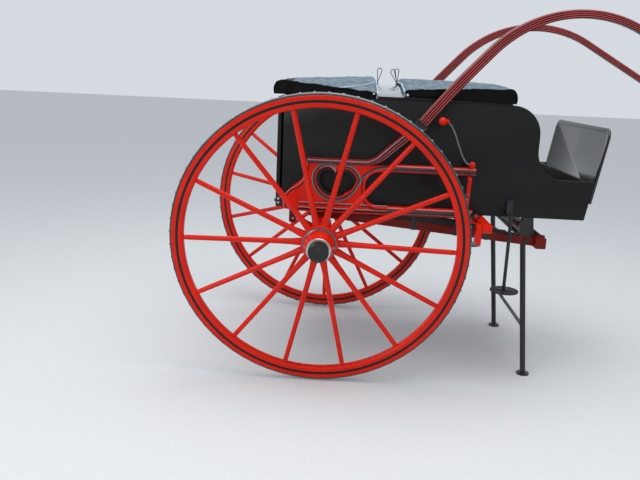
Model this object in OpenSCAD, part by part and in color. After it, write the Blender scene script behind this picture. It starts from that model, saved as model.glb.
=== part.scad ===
// Two-wheeled, box-bodied horse carriage: a black body on two sprung sole bars over an axle with
// canted arms, carved red side frames that run on into swan-neck shafts, and two large canted wheels.
// Millimetres. +X is forwards, +Y is the left (near) side, +Z is up, and z = 0 is the ground.

/* [Wheels] */
// Radius of the tyre, to the ground
tyre_r = 764; // [560:1:840]
// Thickness of the tyre outside the felloes
tyre_t = 17; // [10:1:30]
// Width of the tyre across its tread
tyre_w = 40; // [30:1:60]
// Width of the felloes, from face to face
felloe_w = 45; // [36:1:60]
// Depth of the felloes, from the tyre inwards
felloe_d = 60; // [40:1:80]
// Number of spokes in each wheel
spoke_n = 14; // [10:1:16]
// Radius of a spoke where it enters the hub
spoke_root_r = 16; // [12:0.5:18]
// Radius of a spoke where it enters the felloes
spoke_tip_r = 12; // [8:0.5:14]
// Angle at which the top of each wheel leans outwards
cant = 6.25; // [0:0.25:8]
// Distance by which the spoke roots lie inside the plane of the rim
dish = 34; // [10:1:50]
// Distance from the centre line to the middle of the rim at hub height
wheel_y = 713; // [660:1:800]
// Angle to which the right wheel is turned
right_turn = 0.5; // [0:0.5:25]
// Angle to which the left wheel is turned
left_turn = 12; // [0:0.5:25]

/* [Hubs and axle] */
// Radius of the red collar that holds the spokes
hub_r = 96; // [80:1:110]
// Length of the hub inside the spoke roots
hub_in_l = 92; // [60:1:120]
// Length of the tapered nose outside the spoke roots
hub_nose_l = 128; // [90:1:150]
// Radius of the nose at its outer end
nose_r = 60; // [50:1:70]
// Radius of the black hub cap
cap_r = 52; // [40:1:58]
// Length of the hub cap outside the nose
cap_l = 34; // [20:1:50]
// Radius of the axle arm on which the hub turns
arm_r = 26; // [18:1:32]
// Height and width of the square axle bed
bed_a = 46; // [36:1:60]

/* [Body] */
// Length of the body box from the tailboard to the seat riser
box_l = 1196; // [1000:1:1400]
// Distance of the tailboard's outer face behind the axle
rear_x = 246; // [180:1:320]
// Width over the body's side panels
body_w = 940; // [780:1:1040]
// Height of the underside of the body above the ground
floor_z = 908; // [880:1:980]
// Height of the body's sides
body_h = 578; // [480:1:640]
// Thickness of the side panels, the riser and the tailboard
panel_t = 20; // [14:1:26]
// Thickness of the floor
floor_t = 22; // [16:1:30]
// Thickness of the top deck
deck_t = 16; // [10:1:24]
// Height by which the deck is crowned at the centre line
deck_rise = 58; // [30:1:80]
// Length of the footwell in front of the seat riser
footwell_l = 430; // [360:1:520]
// Height of the sides beside the footwell
wing_h = 205; // [160:1:260]
// Height of the dashboard
dash_h = 400; // [300:1:480]

/* [Side frames] */
// Thickness of the carved panels and of the rails
frame_t = 45; // [30:1:60]
// Height of the bottom rail
low_rail_h = 44; // [32:1:56]
// Height of the middle rail
mid_rail_h = 40; // [30:1:50]
// Height of the middle rail's underside above the body's underside
mid_rail_up = 210; // [190:1:230]
// Distance of the rails' front ends behind the brake beam
rail_short = 16; // [6:1:60]
// Height of the shaft's straight foot above the body's underside
shaft_up = 260; // [250:1:275]

/* [Shafts] */
// Width of the shafts from side to side
shaft_t = 40; // [30:1:50]
// Depth of the shafts at the collar
shaft_d = 57; // [46:1:69]
// Angle by which the shafts draw together in front of the collar
shaft_in = 3; // [0:0.5:4]
// Radius of the arch over the horse's quarters
arch_r = 620; // [500:1:760]
// Length of the straight fall in front of the arch
fall_l = 900; // [760:1:1000]
// Length of the level stretch at the tips
tip_l = 520; // [360:1:640]

/* [Running gear] */
// Width of the sole bars
sole_w = 44; // [36:1:52]
// Depth of the sole bars
sole_d = 45; // [36:1:56]
// Angle by which the sole bars fall towards the front
sole_fall = 5; // [3:0.25:6]
// Distance of the middle of each sole bar inside the body's side
sole_in = 23; // [22:1:40]
// Number of leaves in each spring
leaf_n = 5; // [3:1:6]
// Thickness of one leaf
leaf_t = 7; // [5:0.5:8]
// Reach of the longest leaf behind the middle of the spring
leaf_back = 560; // [400:1:620]
// Reach of the longest leaf in front of the middle of the spring
leaf_fore = 318; // [200:1:320]
// Running gap between the tyre and a brake shoe
shoe_gap = 8; // [6:0.5:20]
// Radius of the prop stand's cross shaft
prop_shaft_r = 12; // [8:0.5:15]
// Radius of the prop stand's legs
prop_r = 15; // [10:0.5:18]

/* [Covers] */
// Thickness of the leather covers
cover_t = 6; // [4:0.5:10]
// Height of the covers above the deck along the centre line
cover_up = 46; // [30:1:70]
// Height of the covers above the deck at the sides
cover_edge_up = 40; // [24:1:60]
// Depth of the valance below the deck's edge
valance = 12; // [4:1:60]
// Length of deck left bare between the covers
bare_l = 138; // [80:1:200]
// Length of the rear cover in front of the tailboard
rear_cover_l = 502; // [400:1:560]

/* [Hidden] */
$fn = 64;

seat = 0.3;              // gap between pieces that bear on each other through a curve
turning = 0.05;          // radial clearance of a shaft in its bearing
clear = 5;               // gap beside a piece that moves
eps = 1;                 // how far a cut runs past the surface it opens

felloe_r = tyre_r - tyre_t;
rim_in_r = felloe_r - felloe_d;
axle_z = tyre_r*cos(cant) + tyre_w/2*sin(cant);
arm_in_z = -dish - hub_in_l - 6;             // inner end of the arm, along the wheel's own axis
bed_z = axle_z - arm_in_z*sin(cant);
bed_half = wheel_y + arm_in_z*cos(cant);

side_y = body_w/2;
box_rear = -rear_x + panel_t + clear;        // rear ends of the floor and the side panels
box_front = -rear_x + box_l;
foot_front = box_front + footwell_l;
side_top = floor_z + body_h;
deck_edge = side_top + deck_t;
in_y = side_y - panel_t;

rail_in = side_y;
rail_out = side_y + frame_t;
low_rail_top = floor_z + 29;
low_rail_bot = low_rail_top - low_rail_h;
mid_rail_bot = floor_z + mid_rail_up;
mid_rail_top = mid_rail_bot + mid_rail_h;
shaft_y = side_y + 22 + shaft_t/2;
shaft_z = floor_z + shaft_up;

sole_y = side_y - sole_in;
sole_rear = -70;
sole_front = 1130;
sole_bot0 = bed_z + bed_a/2 + 58;            // underside of the sole bars over the axle
leaf_mid = 720;
tail_hx = -rear_x - 5 - 11;                  // tailboard's hinge line
tail_hz = floor_z + 7;
prop_x = 1090;
prop_z = sole_bot0 - prop_x*tan(sole_fall) + sole_d/2;
prop_lean = 6;
prop_y = sole_y - sole_w/2 - prop_r - 8;
shoe_x = tyre_r + shoe_gap;
beam_x = shoe_x + 30;
beam_z = floor_z - 40;
rail_front = beam_x - rail_short;
dash_lean = 9;           // angle at which the dashboard leans forwards

foot_d = 26;             // depth of the shaft's foot along the carved panel
foot_l = 303;            // straight foot of the shaft along the carved panel
foot_r = 130;            // bend from the foot into the neck
neck_l = 232;            // straight neck below the collar

// The model's origin is on the ground, midway along the whole length.
path_start = [-88, 0];
front_reach = path_end()[0][0];
mid_x = (front_reach - tyre_r)/2;

// ---------- shared shapes ----------
module both() {
    children();
    mirror([0, 1, 0]) children();
}

module place() translate([-mid_x, 0, 0]) children();

// Extrudes a profile drawn as [x, z] from y0 to y1 (y0 < y1).
module side_cut(y0, y1) translate([0, y1, 0]) rotate([90, 0, 0]) linear_extrude(y1 - y0) children();

// Extrudes a profile drawn as [y, z] from x0 to x1.
module cross_cut(x0, x1) translate([x0, 0, 0]) rotate([90, 0, 90]) linear_extrude(x1 - x0) children();

module block(x0, x1, y0, y1, z0, z1) translate([x0, y0, z0]) cube([x1 - x0, y1 - y0, z1 - z0]);

module rod_y(x, z, r, y0, y1) translate([x, y0, z]) rotate([-90, 0, 0]) cylinder(h = y1 - y0, r = r);

// A round bar from point a to point b.
module bar(a, b, r) {
    d = b - a;
    l = norm(d);
    translate(a) rotate([0, acos(d[2]/l), atan2(d[1], d[0])]) cylinder(h = l, r = r);
}

function arc(c, r, a0, a1, n) = [for (i = [0:n]) let (a = a0 + (a1 - a0)*i/n) c + r*[cos(a), sin(a)]];

// Points of a crowned line over y = -span to span, dz above the deck's upper edge. Its rise is
// reached over a half width of half.
function crown(dz, half, rise, span) = [for (i = [0:16])
    let (y = -span + 2*span*i/16, r = (half*half + rise*rise)/(2*rise))
    [y, deck_edge + dz + sqrt(r*r - y*y) - (r - rise)]];

// ---------- body ----------
module floor_board() color("#1b1a19")
    block(box_rear, foot_front - 60, -in_y, in_y, floor_z, floor_z + floor_t);

wing_top = floor_z + wing_h;
sweep_r = 150;
module side_outline() polygon(concat(
    [[box_rear, floor_z], [foot_front, floor_z], [foot_front + wing_h*tan(dash_lean), wing_top]],
    arc([box_front + 5 + 2*sweep_r, wing_top + sweep_r], sweep_r, 270, 180, 10),
    arc([box_front + 5, side_top - sweep_r], sweep_r, 0, 90, 10),
    [[box_rear, side_top]]));

module side_panel() color("#141414") side_cut(in_y, side_y) side_outline();

// A cross panel from z0 up to the underside of the crowned deck.
module under_deck(z0) polygon(concat([[in_y, z0], [-in_y, z0]], crown(-deck_t, in_y, deck_rise - 4, in_y)));

module seat_riser() color("#141414")
    cross_cut(box_front - panel_t, box_front) under_deck(floor_z + floor_t);

// Fixed rail over the tailboard.
header_h = 42;
module rear_header() color("#141414") cross_cut(box_rear, box_rear + panel_t) under_deck(side_top - header_h);

module top_deck() color("#22262b") cross_cut(box_rear, box_front)
    polygon(concat(crown(0, side_y, deck_rise, side_y), [[side_y, side_top]],
        [for (p = crown(-deck_t, in_y, deck_rise - 4, in_y)) [-p[0], p[1]]], [[-side_y, side_top]]));

toe_a = 46;
toe_t = 18;
module toe_board() color("#1b1a19") side_cut(-in_y, in_y) polygon([
    [foot_front - 60, floor_z], [foot_front - 60 + toe_t/sin(toe_a), floor_z],
    [foot_front, floor_z + (60 - toe_t/sin(toe_a))*tan(toe_a)],
    [foot_front, wing_top], [foot_front - toe_t, wing_top],
    [foot_front - toe_t, floor_z + (60 - toe_t/sin(toe_a))*tan(toe_a) + toe_t*tan(toe_a/2)],
    [foot_front - 60, floor_z + floor_t]]);

dash_t = 14;
dash_r = 60;
dash_foot = 90;          // height of the dashboard's lower edge above the body's underside
module dashboard() color("#101010") translate([foot_front, 0, floor_z]) rotate([0, dash_lean, 0])
    difference() {
        block(seat, dash_t, -side_y, side_y, dash_foot, dash_foot + dash_h);
        both() translate([-eps, side_y - dash_r, dash_foot + dash_h - dash_r]) rotate([0, 90, 0])
            difference() {
                translate([-dash_r - eps, 0, 0]) cube([dash_r + eps, dash_r + eps, dash_t + 2*eps]);
                translate([0, 0, -eps]) cylinder(h = dash_t + 4*eps, r = dash_r);
            }
    }

// ---------- tailboard ----------
tail_top = side_top - 6;
tail_bot = tail_hz + 15;
module tailboard() color("#141414")
    block(-rear_x - 5, -rear_x - 5 + panel_t, -side_y, side_y, tail_bot, tail_top);

hinge_y = [-300, 300];
knuckle_r = 9;
pin_r = 5;
module hinge_leaves() color("#2b2b2b") for (y = hinge_y) difference() {
    union() {
        rod_y(tail_hx, tail_hz, knuckle_r, y - 20, y + 20);
        block(tail_hx, box_rear + 140, y - 20, y + 20, floor_z - 4, floor_z);
    }
    rod_y(tail_hx, tail_hz, pin_r + turning, y - 20 - eps, y + 20 + eps);
}

module tailboard_straps() color("#2b2b2b") for (y = hinge_y) {
    rod_y(tail_hx, tail_hz, pin_r, y - 40, y + 40);
    for (s = [-1, 1]) {
        rod_y(tail_hx, tail_hz, knuckle_r, y + s*31 - 10, y + s*31 + 10);
        block(tail_hx - 3, -rear_x - 5, y + s*31 - 10, y + s*31 + 10, tail_hz, tail_hz + 6);
        block(-rear_x - 9, -rear_x - 5, y + s*31 - 10, y + s*31 + 10, tail_hz, tail_hz + 60);
    }
    block(-rear_x - 9, -rear_x - 5, y - 41, y + 41, tail_hz + 50, tail_hz + 330);
}

// ---------- covers and cushions ----------
cover_y = side_y + 2 + cover_t;
rear_cover_x = [-rear_x - 28, -rear_x + rear_cover_l];
front_cover_x = [-rear_x + rear_cover_l + bare_l, box_front + 14];
cover_top = deck_edge + deck_rise + cover_up;
cover_hem = deck_edge - valance;

// Outline along the carriage of what a cover encloses, drawn in by d all round.
module hump(x0, x1, r0, r1, d) polygon(concat(
    [[x0 + d, cover_hem - 2*eps*sign(d)]],
    arc([x0 + r0, cover_top - r0], r0 - d, 180, 90, 8),
    arc([x1 - r1, cover_top - r1], r1 - d, 90, 0, 8),
    [[x1 - d, cover_hem - 2*eps*sign(d)]]));

module crowned(half, dz) polygon(concat(
    crown(dz, half, deck_rise + cover_up - cover_edge_up, half),
    [[half, cover_hem - eps], [-half, cover_hem - eps]]));

module seat_cover(x, r0, r1, open_in) difference() {
    intersection() {
        side_cut(-cover_y, cover_y) hump(x[0], x[1], r0, r1, 0);
        cross_cut(x[0] - eps, x[1] + eps) crowned(cover_y, cover_edge_up);
    }
    intersection() {
        side_cut(-cover_y, cover_y) hump(x[0], x[1], r0, r1, cover_t);
        cross_cut(x[0] - eps, x[1] + eps) crowned(cover_y - cover_t, cover_edge_up - cover_t);
    }
    // the edge beside the bare deck is held down on it, with no fall
    block(open_in - 2*cover_t, open_in + 2*cover_t, -side_y - 2*seat, side_y + 2*seat, cover_hem - 20, side_top);
    cross_cut(open_in - 2*cover_t, open_in + 2*cover_t) polygon(concat(
        crown(seat, side_y, deck_rise, side_y + 2*seat),
        [[side_y + 2*seat, cover_hem - 20], [-side_y - 2*seat, cover_hem - 20]]));
}

module cushion(x, r0, r1, x_lo, x_hi) intersection() {
    side_cut(-side_y, side_y) hump(x[0], x[1], r0, r1, cover_t + 2*seat);
    cross_cut(x_lo, x_hi) polygon(concat(
        crown(cover_edge_up - cover_t - 4*seat, side_y + 2, deck_rise + cover_up - cover_edge_up, in_y),
        [for (p = crown(seat, side_y, deck_rise, in_y)) [-p[0], p[1]]]));
}

module rear_cover() color("#39424d") seat_cover(rear_cover_x, 70, 24, rear_cover_x[1]);
module front_cover() color("#39424d") seat_cover(front_cover_x, 24, 60, front_cover_x[0]);
module rear_cushion() color("#1d1d1f")
    cushion(rear_cover_x, 70, 24, box_rear, rear_cover_x[1] - cover_t - 2);
module front_cushion() color("#1d1d1f")
    cushion(front_cover_x, 24, 60, front_cover_x[0] + cover_t + 2, box_front);

// One flat teardrop, standing on its point, or 4.5 d above it, drawn in by d all round.
loop_h = 92;
loop_w = 30;
loop_t = 4;
module teardrop(d) polygon(concat([[0, 4.5*d]], arc([0, loop_h - loop_w/2], loop_w/2 - d, -20, 200, 16)));

module strap_loops() color("#151515") {
    deck_mid = deck_edge + deck_rise + seat;
    for (l = [[rear_cover_x[1] + 14, 0, 8], [front_cover_x[0] - 10, -20, -22], [front_cover_x[0] - 10, 20, -4]])
        translate([l[0], l[1], deck_mid]) rotate([0, l[2], 0]) side_cut(-4, 4) difference() {
            union() {
                teardrop(0);
                rotate(l[2]) translate([-6, 0]) square([12, 8]);
            }
            teardrop(loop_t);
        }
}

// ---------- side frames ----------
panel_top = shaft_z - foot_d/2;
neck = [-195, panel_top - 30];
neck_r = 104;
curl = [-134, floor_z + 28];
curl_r = 78;
window_x = 219;
window_r = 74;
scroll_c = [63, floor_z + 142];
panel_front = 340;       // where the carved panel ends and the rails begin

module window_end(d) polygon(concat(
    arc([window_x + window_r, mid_rail_bot - window_r], window_r + d, 90, 180, 12),
    arc([window_x + window_r, low_rail_top + window_r], window_r + d, 180, 270, 12),
    [[panel_front + eps, low_rail_top - d], [panel_front + eps, mid_rail_bot + d]]));

module carved_outline() polygon(concat(
    [[-91, panel_top]],
    arc(neck, neck_r, 0, -64, 12),
    arc(curl, curl_r, 128, 205, 10),
    [[-140, low_rail_bot], [panel_front, low_rail_bot], [panel_front, panel_top - 3],
    [at_foot()[0][0] + 25, panel_top - 3], [at_foot()[0][0] - 1, panel_top]]));

module carved_panel() color("#c8190c") side_cut(rail_in, rail_out) difference() {
    carved_outline();
    window_end(0);
    translate(scroll_c) heart();
}

// The opening in the carved panel: two round lobes over a round foot.
module heart() {
    translate([-38, 15]) circle(r = 68);
    translate([42, 10]) circle(r = 62);
    translate([0, -8]) circle(r = 70);
}

module side_rails() color("#b3170c") {
    block(panel_front + seat, rail_front, rail_in, rail_out, low_rail_bot, low_rail_top);
    block(panel_front + seat, rail_front, rail_in, rail_out, mid_rail_bot, mid_rail_top);
}

// ---------- shafts ----------
function unit(a) = [cos(a), sin(a)];
// A state is [point, heading]; go runs straight, bend follows an arc of signed radius r.
function go(s, l) = [s[0] + l*unit(s[1]), s[1]];
function bend(s, r, turn) = let (b = s[1] + turn)
    [s[0] + r*([-sin(s[1]), cos(s[1])] + [sin(b), -cos(b)]), b];
function bend_run(s, r, turn, n) = [for (i = [0:n]) bend(s, r, turn*i/n)];

function at_foot() = go([[path_start[0], shaft_z], 0], foot_l);
function at_neck() = bend(at_foot(), foot_r, 42);
function at_collar() = go(at_neck(), neck_l);
function at_rise() = bend(at_collar(), 150, 10);
function at_arch() = go(bend(at_rise(), -4500, -5), 100);
function at_fall() = bend(at_arch(), -arch_r, -77);
function at_hollow() = go(at_fall(), fall_l);
function at_tip() = bend(at_hollow(), 700, 26);
function path_end() = go(at_tip(), tip_l);

function lower_run() = concat([[[path_start[0], shaft_z], 0]], bend_run(at_foot(), foot_r, 42, 8),
    [at_collar(), go(at_collar(), 12)]);
function upper_run() = concat(bend_run(at_collar(), 150, 10, 3), bend_run(at_rise(), -4500, -5, 6),
    bend_run(at_arch(), -arch_r, -77, 24), bend_run(at_hollow(), 700, 26, 10), [path_end()]);

// Points at side*half the depth from a run of states; the depth goes from w0 to w1 after state n0.
function edge(run, w0, w1, n0, side) = [for (i = [0:len(run) - 1])
    let (w = w0 + (w1 - w0)*max(0, i - n0)/(len(run) - 1 - n0), s = run[i])
    s[0] + side*w/2*[-sin(s[1]), cos(s[1])]];

// A strip that follows a run of states.
module strip(run, w0, w1, n0 = 0) {
    back = edge(run, w0, w1, n0, -1);
    polygon(concat(edge(run, w0, w1, n0, 1), [for (i = [1:len(run)]) back[len(run) - i]]));
}

module draw_in() translate([at_collar()[0][0], shaft_y, 0]) rotate([0, 0, -shaft_in])
    translate([-at_collar()[0][0], -shaft_y, 0]) children();

module shaft() color("#5e1016") {
    side_cut(shaft_y - shaft_t/2, shaft_y + shaft_t/2) strip(lower_run(), foot_d, shaft_d, 1);
    draw_in() side_cut(shaft_y - shaft_t/2, shaft_y + shaft_t/2) strip(upper_run(), shaft_d, 34);
}

collar_wall = 5;         // how far the collars stand out from the shafts' sides
module shaft_collars() color("#161616") both() difference() {
    translate([at_collar()[0][0], shaft_y, at_collar()[0][1]]) rotate([0, -47, 0])
        cube([30, shaft_t + 2*collar_wall, shaft_d + 12], center = true);
    shaft();
}

// ---------- running gear ----------
module on_arm() translate([0, wheel_y, axle_z]) rotate([-90 - cant, 0, 0]) children();

module axle() color("#7e130f") union() {
    block(-bed_a/2, bed_a/2, -bed_half, bed_half, bed_z - bed_a/2, bed_z + bed_a/2);
    both() on_arm() {
        translate([0, 0, arm_in_z - 12]) cylinder(h = 12 + 5.7, r = arm_r + 12);
        translate([0, 0, arm_in_z]) cylinder(h = hub_nose_l - 34 - arm_in_z - dish, r = arm_r);
    }
}

function sole_z(x) = sole_bot0 - x*tan(sole_fall);

block_z = bed_z + bed_a/2;
module axle_blocks() color("#c8190c") both() side_cut(sole_y - 28, sole_y + 28) difference() {
    polygon([[-52, block_z], [52, block_z], [52, block_z + 26], [40, sole_z(40)], [-40, sole_z(-40)],
        [-52, block_z + 26]]);
    translate([0, block_z + 8]) circle(r = 20);
}

module sole_bar() color("#74120e") difference() {
    side_cut(sole_y - sole_w/2, sole_y + sole_w/2) polygon([
        [sole_rear, sole_z(sole_rear)], [sole_front, sole_z(sole_front)],
        [sole_front, sole_z(sole_front) + sole_d], [sole_rear + 30, sole_z(sole_rear) + sole_d - 3],
        [sole_rear, sole_z(sole_rear) + sole_d*0.6]]);
    rod_y(prop_x, prop_z, prop_shaft_r + turning, sole_y - sole_w/2 - eps, sole_y + sole_w/2 + eps);
}

// Leaves lie on the sole bar, the longest at the bottom.
leaf_step = 0.16;
module spring() color("#1a1c1f") side_cut(sole_y - 19, sole_y + 19)
    translate([leaf_mid, sole_z(leaf_mid) + sole_d]) rotate(-sole_fall)
        for (i = [0:leaf_n - 1]) let (k = 1 - i*leaf_step)
            translate([-leaf_back*k, i*leaf_t]) square([(leaf_back + leaf_fore)*k, leaf_t]);

pad_x = [560, 604];
module spring_pads() color("#a8160d") both() side_cut(sole_y - 17, sole_y + 17)
    polygon([[pad_x[0], pad_z(pad_x[0])], [pad_x[1], pad_z(pad_x[1])], [pad_x[1], floor_z], [pad_x[0], floor_z]]);
function pad_z(x) = sole_z(x) + sole_d + leaf_n*leaf_t/cos(sole_fall) + 0.1;

// A plate under the body's rear corner, with a flat stay from it to the axle block.
shackle_x = -156;
shackle_h = 89;
module rear_shackles() color("#7e130f") both() {
    side_cut(in_y - 4, side_y) difference() {
        polygon([[shackle_x - 20, floor_z], [shackle_x + 20, floor_z],
            [shackle_x + 20, floor_z - shackle_h + 10], [shackle_x + 10, floor_z - shackle_h],
            [shackle_x - 10, floor_z - shackle_h], [shackle_x - 20, floor_z - shackle_h + 10]]);
        translate([shackle_x, floor_z - shackle_h + 22]) circle(r = 5);
    }
    side_cut(in_y, side_y - 4) polygon([
        [shackle_x + 20 - eps, floor_z - shackle_h + 26], [shackle_x + 20 - eps, floor_z - shackle_h + 42],
        [-52, block_z + 20], [-52, block_z + 4]]);
}

hang_x = [1050, 1130];
module front_hangers() color("#2b2b2b") both() side_cut(side_y - panel_t - 20, side_y)
    polygon([[hang_x[0], sole_z(hang_x[0]) + sole_d], [hang_x[1], sole_z(hang_x[1]) + sole_d],
        [hang_x[1] - 12, floor_z], [hang_x[0] + 12, floor_z]]);

bar_l = 56;
module front_crossbar() color("#8a140e")
    block(sole_front, sole_front + bar_l, -sole_y - 70, sole_y + 70, sole_z(sole_front) - 6, sole_z(sole_front) + 52);

eye_y = 320;
eye_r = 14;
eye_x = sole_front + bar_l + 24;
eye_z = sole_z(sole_front) + 22;
module trace_eyes() color("#2b2b2b") both() difference() {
    union() {
        translate([eye_x, eye_y, eye_z - 6]) cylinder(h = 12, r = eye_r + 8);
        block(sole_front + bar_l, eye_x, eye_y - 9, eye_y + 9, eye_z - 6, eye_z + 6);
        block(sole_front + bar_l, sole_front + bar_l + 4, eye_y - 24, eye_y + 24, eye_z - 20, eye_z + 20);
    }
    translate([eye_x, eye_y, eye_z - 6 - eps]) cylinder(h = 12 + 2*eps, r = eye_r);
}

step_x = 985;
step_z = 520;
module steps() color("#1a1a1a") both() {
    block(step_x - 16, step_x + 16, side_y, side_y + 10, floor_z + 10, floor_z + 90);
    block(step_x - 16, step_x + 16, side_y, side_y + 70, floor_z + 10, floor_z + 20);
    bar([step_x, side_y + 60, step_z + 5], [step_x, side_y + 60, floor_z + 12], 9);
    translate([step_x, side_y + 72, step_z]) cylinder(h = 8, r = 74);
}

// ---------- brake ----------
module brake_beam() color("#b3170c")
    block(beam_x, beam_x + 48, -wheel_y - 24, wheel_y + 24, beam_z, beam_z + 40);

module brake_shoes() color("#a8160d") both()
    block(shoe_x, beam_x, wheel_y - 34, wheel_y + 20, beam_z - 62, beam_z + 40);

grip_r = 21;             // round grip of the lever
rod_y0 = shaft_y + shaft_t/2 + collar_wall + grip_r + 1;
lever_back = 31;         // distance of the lever's pivot behind the rails' front ends
lever_foot = [rail_front - lever_back, mid_rail_top + 24];
lever_boss_r = 15;
module brake_rod() color("#d61f0e") {
    lug_top = lever_foot[1] - lever_boss_r;
    bar([lever_foot[0] - 4, -rod_y0, lug_top - 8], [lever_foot[0] - 12, -rod_y0, beam_z + 20], 9);
    block(lever_foot[0] - 26, beam_x, -rod_y0 - 10, -rod_y0 + 10, beam_z + 4, beam_z + 34);
    block(lever_foot[0] - 13, lever_foot[0] + 13, -rod_y0, -rail_out, mid_rail_bot + 6, mid_rail_top - 6);
    block(lever_foot[0] - 13, lever_foot[0] + 13, -rod_y0 - 8, -rod_y0 + 8, mid_rail_bot + 6, lug_top);
}

function bez(p, t) = pow(1 - t, 3)*p[0] + 3*t*pow(1 - t, 2)*p[1] + 3*t*t*(1 - t)*p[2] + pow(t, 3)*p[3];
function bez_a(p, t) = let (d = bez(p, t + 0.01) - bez(p, t - 0.01)) atan2(d[1], d[0]);
lever_path = [lever_foot + [-8, 0], lever_foot + [-75, 4], lever_foot + [-86, 202], lever_foot + [-146, 204]];
module brake_lever() color("#6d7276") {
    side_cut(-rod_y0 - 5, -rod_y0 + 5)
        strip([for (i = [0:16]) [bez(lever_path, i/16), bez_a(lever_path, i/16)]], 14, 9);
    rod_y(lever_foot[0], lever_foot[1], lever_boss_r, -rod_y0 - 12, -rod_y0 + 12);
    translate([lever_path[3][0] - grip_r + 6, -rod_y0, lever_path[3][1]]) rotate([0, 90, 0]) rotate_extrude()
        polygon(concat([[0, grip_r]], arc([0, 0], grip_r, 85, -85, 16), [[0, -grip_r]]));
}

// ---------- prop stand ----------
leg_l = prop_z/cos(prop_lean);
module prop_stand() color("#2b2b2b") {
    rod_y(prop_x, prop_z, prop_shaft_r, -sole_y - sole_w/2 - 8, sole_y + sole_w/2 + 8);
    foot_x = prop_x + prop_z*tan(prop_lean);
    both() {
        bar([prop_x, prop_y, prop_z], [foot_x, prop_y, 4], prop_r);
        translate([foot_x, prop_y, 0]) cylinder(h = 10, r = 34);
    }
    t = 0.64;
    bar([prop_x + t*(foot_x - prop_x), -prop_y, prop_z*(1 - t)], [prop_x + t*(foot_x - prop_x), prop_y, prop_z*(1 - t)], 10);
}

// ---------- wheels ----------
hub_z0 = -dish - hub_in_l;
nose_z = hub_nose_l - dish;
module hub() color("#c8190c") on_arm() difference() {
    rotate_extrude() polygon(concat(
        [[0, hub_z0], [58, hub_z0], [66, hub_z0 + 14], [78, -dish - 30], [hub_r, -dish - 26]],
        [[hub_r, -dish + 26], [86, -dish + 30], [86, -dish + 46], [82, -dish + 46]],
        [[nose_r + 3, nose_z - 18], [nose_r + 3, nose_z], [0, nose_z]]));
    translate([0, 0, hub_z0 - eps]) cylinder(h = nose_z - 30 - hub_z0 + eps, r = arm_r + turning);
}

module hub_cap() color("#111111") on_arm() translate([0, 0, nose_z]) rotate_extrude()
    polygon([[0, 0], [cap_r, 0], [cap_r, cap_l - 8], [cap_r - 4, cap_l - 3], [cap_r - 10, cap_l], [0, cap_l]]);

module spokes(turn) color("#d61f0e") on_arm() for (i = [0:spoke_n - 1]) rotate([0, 0, turn + i*360/spoke_n]) {
    tilt = atan2(dish, rim_in_r - hub_r);
    a = [hub_r + seat + spoke_root_r*sin(tilt), 0, -dish];
    b = [rim_in_r - 1.5*seat - spoke_tip_r*sin(tilt), 0, 0];
    l = norm(b - a);
    translate(a) rotate([0, 90 - atan2(dish, b[0] - a[0]), 0]) cylinder(h = l, r1 = spoke_root_r, r2 = spoke_tip_r, $fn = 32);
}

edge_r = 14;
module felloes() color("#d61f0e") on_arm() rotate_extrude($fn = 128) polygon(concat(
    [[felloe_r, -felloe_w/2], [felloe_r, felloe_w/2]],
    arc([rim_in_r + edge_r, felloe_w/2 - edge_r], edge_r, 90, 180, 5),
    arc([rim_in_r + edge_r, -felloe_w/2 + edge_r], edge_r, 180, 270, 5)));

module tyre() color("#141414") on_arm() rotate_extrude($fn = 128) polygon(concat(
    [[felloe_r + seat, -tyre_w/2], [tyre_r - 5, -tyre_w/2], [tyre_r, -tyre_w/2 + 6]],
    [[tyre_r, tyre_w/2 - 6], [tyre_r - 5, tyre_w/2], [felloe_r + seat, tyre_w/2]]));

module right() mirror([0, 1, 0]) children();

place() floor_board();  // floor
place() right() side_panel();  // side_panel_right
place() side_panel();  // side_panel_left
place() seat_riser();
place() rear_header();
place() top_deck();
place() toe_board();
place() dashboard();
place() hinge_leaves();
place() tailboard();
place() tailboard_straps();
place() rear_cushion();
place() front_cushion();
place() rear_cover();
place() front_cover();
place() strap_loops();
place() right() carved_panel();  // carved_panel_right
place() carved_panel();  // carved_panel_left
place() right() side_rails();  // side_rails_right
place() side_rails();  // side_rails_left
place() right() shaft();  // shaft_right
place() shaft();  // shaft_left
place() shaft_collars();
place() axle();
place() axle_blocks();
place() right() sole_bar();  // sole_bar_right
place() sole_bar();  // sole_bar_left
place() right() spring();  // spring_right
place() spring();  // spring_left
place() spring_pads();
place() rear_shackles();
place() front_hangers();
place() front_crossbar();
place() trace_eyes();
place() steps();
place() brake_beam();
place() brake_shoes();
place() brake_rod();
place() brake_lever();
place() prop_stand();
place() right() hub();  // hub_right
place() right() spokes(right_turn);  // spokes_right
place() right() felloes();  // felloes_right
place() right() tyre();  // tyre_right
place() right() hub_cap();  // hub_cap_right
place() hub();  // hub_left
place() spokes(left_turn);  // spokes_left
place() felloes();  // felloes_left
place() tyre();  // tyre_left
place() hub_cap();  // hub_cap_left
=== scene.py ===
import math

import bmesh
import bpy
from mathutils import Matrix, Vector, bvhtree, kdtree, noise


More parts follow.
